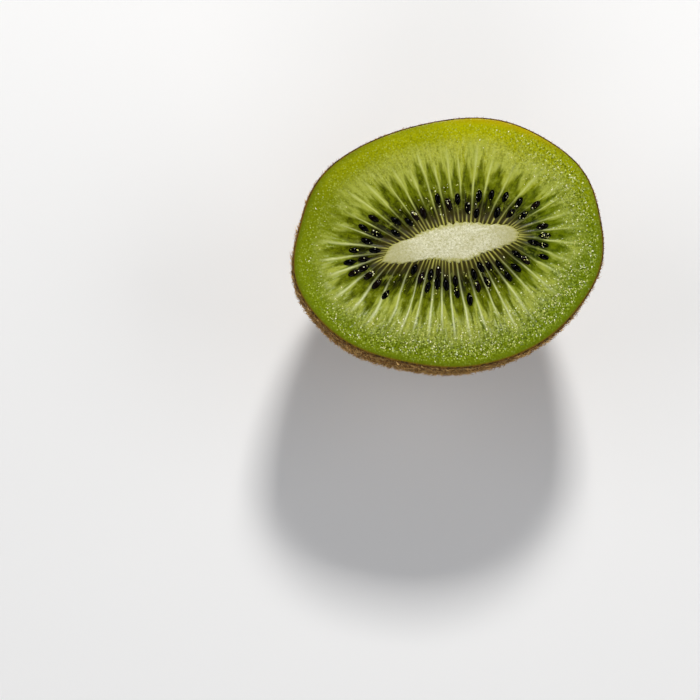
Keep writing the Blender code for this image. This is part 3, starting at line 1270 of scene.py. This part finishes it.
@dataclass
class Juice:
    """Drops of juice on the cut: many on the near side and the right, some over the seeds."""

    plan: FruitPlan
    pattern: CutPattern
    seeds: Seeds
    count: int = 3000
    radius: float = 0.105 * MM
    rise: float = 0.16
    sizes: tuple[float, float] = (0.45, 1.15)
    drawn_out: tuple[float, float] = (0.8, 2.2)
    lean: float = math.radians(11)
    swing: float = 0.5
    draw: int = 23

    def build(self) -> bpy.types.Object:
        """Models one drop and scatters it over the cut.

        Returns:
            The dressed piece.
        """
        plan = self.plan
        drop = self._drop()
        generator = np.random.default_rng(self.draw)
        chamber = generator.uniform(0, plan.chambers, self.count * 6)
        share = np.sqrt(generator.uniform(0.002, 0.90, self.count * 6))
        turns = plan.turn_of(chamber)
        here = plan.on_cut(turns, share)
        near = smoothstep(2.0, -17.0, here[:, 1] / MM) * smoothstep(0.50, 0.72, share)
        right = smoothstep(6.0, 24.0, here[:, 0] / MM) * smoothstep(0.45, 0.7, share)
        left = smoothstep(-16.0, -26.0, here[:, 0] / MM) * smoothstep(0.45, 0.7, share)
        seeds = smoothstep(0.05, 0.12, share) * smoothstep(0.42, 0.30, share)
        clumps = wobble(np.column_stack([here, np.zeros(len(here))]), 1.6 * MM, 9.0)
        wanted = 0.007 + 0.42 * near + 0.30 * right + 0.06 * left + 0.50 * seeds
        wanted *= 1 - smoothstep(0.90, 0.95, share)
        wanted *= smoothstep(-0.35, 0.45, clumps)
        chosen = np.flatnonzero(wanted > generator.uniform(0, 1, len(here)))[: self.count]
        masks = self.pattern.masks(chamber[chosen], share[chosen])
        tops = self.seeds.tops(here)
        transforms = []
        for index, gel in zip(chosen, masks["gel"]):
            size = generator.uniform(*self.sizes) ** 1.7
            outward = plan.skin(turns[index]) - plan.core(turns[index])
            lean = generator.normal(0.0, self.lean, 2)
            heading = math.atan2(outward[1], outward[0]) + generator.normal(0.0, self.swing)
            height = max(plan.height - plan.dip * 0.55 * gel, tops[index])
            place = Matrix.Translation((*here[index], height)) @ Matrix.Rotation(heading, 4, "Z")
            place @= Matrix.Rotation(lean[0], 4, "X") @ Matrix.Rotation(lean[1], 4, "Y")
            place @= Matrix.Diagonal((size * generator.uniform(*self.drawn_out), size, size, 1.0))
            transforms.append(place)
        piece = lay_copies("juice_drops", drop, transforms)
        finish_piece(piece, Node.FLESH, Slot.FLESH, JuiceFinish().material())
        return piece

    def _drop(self) -> bpy.types.Object:
        """Models one low drop that is sunk by its lower half.

        Returns:
            The drop.
        """
        deselect()
        bpy.ops.mesh.primitive_uv_sphere_add(segments=7, ring_count=4, radius=self.radius)
        drop = named("one_drop")
        edit_all()
        bpy.ops.transform.resize(value=(1, 1, self.rise), center_override=(0, 0, 0))
        bpy.ops.object.mode_set(mode="OBJECT")
        return drop


@dataclass
class Skin:
    """The thin brown skin, a shell round the flesh that shows as a line on the cut."""

    plan: FruitPlan
    segments: int = 246
    rings: int = 150
    thickness: float = 0.20 * MM
    relief: float = 0.12 * MM
    scar_recess: float = 0.75 * MM

    def build(self) -> bpy.types.Object:
        """Models the skin.

        Returns:
            The dressed piece.
        """
        deselect()
        bpy.ops.mesh.primitive_uv_sphere_add(segments=self.segments, ring_count=self.rings, radius=1.0)
        piece = named("skin_shell")
        edit_all()
        bpy.ops.mesh.bisect(plane_co=(0, 0, 0), plane_no=(0, 0, 1), clear_outer=True)
        bpy.ops.object.mode_set(mode="OBJECT")
        points = points_of(piece)
        even_turn = np.arctan2(points[:, 1], points[:, 0])
        wide = np.hypot(points[:, 0], points[:, 1])
        move_points(piece, self.surface(even_turn, wide, np.clip(-points[:, 2], 0.0, 1.0)))
        shell = piece.modifiers.new("wall", "SOLIDIFY")
        shell.thickness = self.thickness
        shell.offset = -1.0
        bpy.ops.object.modifier_apply(modifier="wall")
        finish_piece(piece, Node.FLESH, Slot.SKIN, SkinFinish().material())
        return piece

    def surface(self, even_turn: np.ndarray, wide: np.ndarray, deep: np.ndarray) -> np.ndarray:
        """Finds points of the outside of the skin from places on a half ball of radius 1.

        Args:
            even_turn: Turns about Z, in radians.
            wide: Distances from the ball's axis.
            deep: Depths under its rim.

        Returns:
            Rows of X, Y and Z.
        """
        plan = self.plan
        radius, height = plan.down_the_side(wide, deep)
        new = plan.press_side(plan.crowded(even_turn), radius)
        smooth = np.column_stack([new, height])
        rough = wobble(smooth, 3.0 * MM, 1.0) + 0.5 * wobble(smooth, 1.1 * MM, 4.0)
        calm = smoothstep(0.0, 1.5 * MM, plan.height - height) * smoothstep(6.0 * MM, 9.0 * MM, radius)
        new *= (1 + self.relief * (rough - 0.6) * calm / np.maximum(radius, MM))[:, None]
        recess = self.scar_recess * smoothstep(plan.flat_radius * 0.98, plan.flat_radius * 0.86, radius)
        return np.column_stack([new, np.maximum(height, 0.0) + recess])


@dataclass
class StemScar:
    """The woody scar under the fruit: a torn ring, a groove, a wrinkled disc and the button of the stalk."""

    plan: FruitPlan
    steps: int = 144
    rings: int = 40
    radius: float = 6.75 * MM
    thickness: float = 1.0 * MM
    groove: tuple = (5.9 * MM, 5.2 * MM, 4.5 * MM)
    groove_depth: float = 0.6 * MM
    button: float = 1.65 * MM

    def build(self) -> bpy.types.Object:
        """Models the scar as a closed disc with relief on its under side.

        Returns:
            The dressed piece.
        """
        piece = start_ring("stem_scar", self.steps, self.radius)
        radii = np.linspace(self.radius, self.radius * 0.02, self.rings + 1)
        for outer, inner in zip(radii, radii[1:]):
            draw_in(inner / outer, (0, 0, 0))
        close_ring()
        select_rim()
        draw_in(1.0, (0, 0, 0), self.thickness)
        close_ring()
        close_shape()
        self._press(piece)
        finish_piece(piece, Node.FLESH, Slot.SKIN, ScarFinish().material())
        return piece

    def _press(self, piece: bpy.types.Object) -> None:
        """Raises the ring, groove, wrinkles and button on the under side."""
        points = points_of(piece)
        radius = np.hypot(points[:, 0], points[:, 1])
        turn = np.arctan2(points[:, 1], points[:, 0])
        under = points[:, 2] < TINY
        ragged = 1 + 0.03 * np.sin(5 * turn + 1) + 0.02 * np.sin(11 * turn + 2)
        reach = radius / ragged
        outer, deepest, inner = self.groove
        hollow = smoothstep(outer, deepest, reach) * smoothstep(inner * 0.94, deepest, reach)
        creases = 0.5 + 0.5 * np.sin(reach / MM * 5.2 + 1.3 * np.sin(3 * turn) + 0.8 * np.sin(7 * turn))
        flaky = 0.5 + 0.5 * wobble(points, 0.9 * MM, 6.0)
        inside = smoothstep(self.button * 0.9, self.button * 1.25, reach)
        inside *= smoothstep(inner, inner * 0.85, reach)
        ring = smoothstep(self.button * 1.35, self.button * 1.1, reach)
        ring *= smoothstep(self.button * 0.75, self.button, reach)
        depth = self.groove_depth * hollow + 0.30 * MM * creases * inside + 0.22 * MM * flaky
        depth += 0.35 * MM * ring + 0.5 * MM * smoothstep(self.radius * 0.97, self.radius, reach)
        points[:, 2] = np.where(under, np.clip(depth, 0.0, 0.95 * MM), points[:, 2])
        move_points(piece, points)
        keep_values(piece, "high", 1 - np.clip(depth / (0.6 * MM), 0.0, 1.0))
        keep_values(piece, "middle", smoothstep(self.button * 1.1, self.button * 0.8, reach))


@dataclass
class Fuzz:
    """The short hairs all over the skin, which lean from the stem scar towards the cut."""

    plan: FruitPlan
    skin: Skin
    name: str
    count: int
    length: tuple[float, float]
    thickness: float
    draw: int
    swing: float = 0.65
    lifts: tuple[float, float] = (0.25, 0.75)
    rim_band: float = 2.0 * MM
    rim_trim: float = 0.75
    trimmed_side: tuple[float, float] = (0.30, 0.95)
    trimmed_from: float = -9.0 * MM
    most_over_rim: float = 0.35 * MM
    least_height: float = 0.05 * MM
    root_depth: float = 0.02 * MM

    def build(self) -> bpy.types.Object:
        """Models one bent hair and plants copies of it over the skin.

        Returns:
            The dressed piece.
        """
        hair = self._hair()
        roots, normals = self._roots()
        generator = np.random.default_rng(self.draw)
        up = np.array([0.0, 0.0, 1.0])
        trimmed = roots[:, :2] @ self.trimmed_side > self.trimmed_from
        near_rim = trimmed * np.maximum(0.0, 1 - (self.plan.height - roots[:, 2]) / self.rim_band)
        transforms = []
        for root, normal, rim in zip(roots, normals, near_rim):
            along = up - normal * normal.dot(up)
            if np.linalg.norm(along) < 0.05:
                along = np.cross(normal, [1.0, 0.0, 0.0])
            along /= np.linalg.norm(along)
            aside = np.cross(normal, along)
            swing = generator.normal(0.0, self.swing)
            lean = math.cos(swing) * along + math.sin(swing) * aside
            lift = generator.uniform(*self.lifts)
            forward = Vector(lean * math.cos(lift) + normal * math.sin(lift)).normalized()
            sideways = forward.cross(Vector(normal)).normalized()
            upward = sideways.cross(forward)
            long = generator.uniform(*self.length) * (1 - self.rim_trim * rim)
            if not self.least_height <= root[2] + forward.z * long <= self.plan.height + self.most_over_rim:
                continue
            turned = Matrix((forward, sideways, upward)).transposed().to_4x4()
            drawn_out = Matrix.Diagonal((long, 1.0, long / MM, 1.0))
            transforms.append(Matrix.Translation(Vector(root)) @ turned @ drawn_out)
        piece = lay_copies(self.name, hair, transforms)
        finish_piece(piece, Node.FLESH, Slot.SKIN, FuzzFinish().material())
        return piece

    def _hair(self) -> bpy.types.Object:
        """Models one hair of length 1 along X, as a three-sided spike that bends down at its tip.

        Returns:
            The hair.
        """
        deselect()
        bpy.ops.mesh.primitive_circle_add(vertices=3, radius=self.thickness, fill_type="NGON")
        hair = named("one_hair")
        edit_all()
        bpy.ops.transform.rotate(value=math.pi / 2, orient_axis="Y", center_override=(0, 0, 0))
        bpy.ops.mesh.extrude_region_move()
        bpy.ops.transform.translate(value=(0.5, 0, 0))
        bpy.ops.transform.resize(value=(1, 0.75, 0.75), center_override=(0.5, 0, 0))
        bpy.ops.mesh.extrude_region_move()
        bpy.ops.transform.translate(value=(0.5, 0, -0.18 * MM))
        bpy.ops.mesh.merge(type="CENTER")
        close_shape()
        return hair

    def _roots(self) -> tuple[np.ndarray, np.ndarray]:
        """Picks roots all over the outside of the skin, in the same order each time.

        Returns:
            The roots and the outward normals there.
        """
        turns = np.linspace(-math.pi, math.pi, self.skin.segments + 1)
        turn, fall = np.meshgrid(turns, np.linspace(0.0, math.pi / 2, self.skin.rings // 2 + 1))
        grid = self.skin.surface(turn.ravel(), np.cos(fall).ravel(), np.sin(fall).ravel())
        grid = grid.reshape(*turn.shape, 3)
        high, high_next, low, low_next = grid[:-1, :-1], grid[:-1, 1:], grid[1:, :-1], grid[1:, 1:]
        centres = ((high + low + high_next + low_next) / 4).reshape(-1, 3)
        crossed = np.cross(low - high_next, low_next - high).reshape(-1, 3)
        areas = np.linalg.norm(crossed, axis=1) / 2
        normals = crossed / np.maximum(2 * areas, TINY**2)[:, None]
        clear = np.hypot(centres[:, 0], centres[:, 1]) > self.plan.flat_radius * 1.02
        chances = areas * clear * (normals[:, 2] < 0.35)
        generator = np.random.default_rng(self.draw + 100)
        picked = generator.choice(len(chances), self.count, p=chances / chances.sum())
        spread = np.sqrt(areas[picked])[:, None] * generator.uniform(-0.5, 0.5, (self.count, 3))
        spread -= normals[picked] * (spread * normals[picked]).sum(axis=1)[:, None]
        return centres[picked] + spread - normals[picked] * self.root_depth, normals[picked]


# The studio


@dataclass(frozen=True)
class SoftLight:
    """A square light that faces the fruit.

    turn and rise are degrees round the fruit and above the table, away and size metres, power watts.
    """

    name: str
    turn: float
    rise: float
    away: float
    size: float
    power: float
    colour: tuple[float, float, float]


def toward(turn: float, rise: float) -> Vector:
    """The direction that lies this many degrees round from +X and above the table."""
    turn, rise = math.radians(turn), math.radians(rise)
    return Vector((math.cos(rise) * math.cos(turn), math.cos(rise) * math.sin(turn), math.sin(rise)))


@dataclass
class Studio:
    """A pale table, soft light and the camera."""

    plan: FruitPlan
    lights: tuple[SoftLight, ...] = (
        SoftLight("key", 75.0, 42.0, 0.8, 0.14, 5.4, (1.0, 0.985, 0.95)),
        SoftLight("soft_left", 165.0, 32.0, 1.1, 0.90, 3.2, (0.98, 0.99, 1.0)),
        SoftLight("soft_right", 350.0, 32.0, 1.1, 0.90, 3.2, (0.98, 0.99, 1.0)),
        SoftLight("soft_front", 255.0, 24.0, 1.1, 0.80, 4.0, (0.99, 0.99, 1.0)),
    )
    camera_turn: float = 234.8
    camera_rise: float = 74.0
    far_shows_at: float = 65.0
    distance: float = 0.5
    lens: float = 145.0
    sensor: float = 36.0
    off_middle: tuple[float, float] = (0.1437, 0.1536)
    table_colour: str = "#f6f6f7"
    table_size: float = 3.0
    air_colour: str = "#f4f6fa"
    air_strength: float = 0.10

    def build(self) -> None:
        """Sets up the table, the lights and the camera."""
        self._table()
        for light in self.lights:
            self._hang(light)
        world = bpy.data.worlds.new("pale_studio")
        world.use_nodes = True
        background = world.node_tree.nodes["Background"]
        background.inputs["Color"].default_value = linear(self.air_colour)
        background.inputs["Strength"].default_value = self.air_strength
        bpy.context.scene.world = world
        bpy.context.scene.view_settings.view_transform = "Standard"
        self._camera()

    def _table(self) -> None:
        """Lays the table top that the fruit stands on."""
        deselect()
        bpy.ops.mesh.primitive_plane_add(size=self.table_size, location=(0, 0, 0))
        table = named("table_top")
        graph = Graph("matt_white_table")
        add = graph.add
        soft = add("TexNoise", {"Vector": add("TexCoord", give="Object"), "Scale": 6.0, "Detail": 1.0})
        shade = add("MapRange", {0: soft, 3: 0.96, 4: 1.0})
        colour = add("VectorMath", {0: linear(self.table_colour)[:3], "Scale": shade}, operation="SCALE")
        matt = add("BsdfPrincipled", {"Base Color": colour, "Roughness": 0.6})
        table.data.materials.append(graph.close(matt))

    def _hang(self, light: SoftLight) -> None:
        """Hangs one light so that it faces the cut."""
        data = bpy.data.lights.new(light.name, "AREA")
        data.size, data.energy, data.color = light.size, light.power, light.colour
        lamp = bpy.data.objects.new(light.name, data)
        way = toward(light.turn, light.rise)
        lamp.location = Vector((0, 0, self.plan.height)) + way * light.away
        lamp.rotation_euler = (-way).to_track_quat("-Z", "Y").to_euler()
        bpy.context.scene.collection.objects.link(lamp)

    def _camera(self) -> None:
        """Sets the camera at the photograph's angle to the cut, with the far side up and right."""
        back = toward(self.camera_turn, self.camera_rise)
        level_up = (Vector((0, 0, 1)) - back * back.z).normalized()
        level_right = level_up.cross(back)
        roll = math.radians(self.far_shows_at)
        right = level_up * math.cos(roll) + level_right * math.sin(roll)
        up = level_up * math.sin(roll) - level_right * math.cos(roll)
        data = bpy.data.cameras.new("camera")
        data.lens = self.lens
        data.sensor_width = self.sensor
        data.clip_start = 0.01
        camera = bpy.data.objects.new("camera", data)
        half_view = self.sensor / self.lens
        seen = right * self.off_middle[0] * half_view + up * self.off_middle[1] * half_view - back
        aside = seen.rotation_difference(-back).to_matrix()
        axes = (aside @ Matrix((right, up, back)).transposed()).to_4x4()
        middle = Vector((0, 0, self.plan.height))
        camera.matrix_world = Matrix.Translation(middle + back * self.distance) @ axes
        bpy.context.scene.collection.objects.link(camera)
        bpy.context.scene.camera = camera


def main() -> None:
    """Builds the fruit and the studio."""
    logging.basicConfig(level=logging.INFO, format="%(name)s: %(message)s")
    plan = FruitPlan()
    pattern = CutPattern(plan)
    Studio(plan).build()
    Flesh(plan, pattern).build()
    Core(plan).build()
    seeds = Seeds(plan)
    seeds.build()
    Juice(plan, pattern, seeds).build()
    skin = Skin(plan)
    skin.build()
    StemScar(plan).build()
    for name, count, length, thickness, draw in HAIRS:
        Fuzz(plan, skin, name, count, length, thickness, draw).build()


if __name__ == "__main__":
    main()
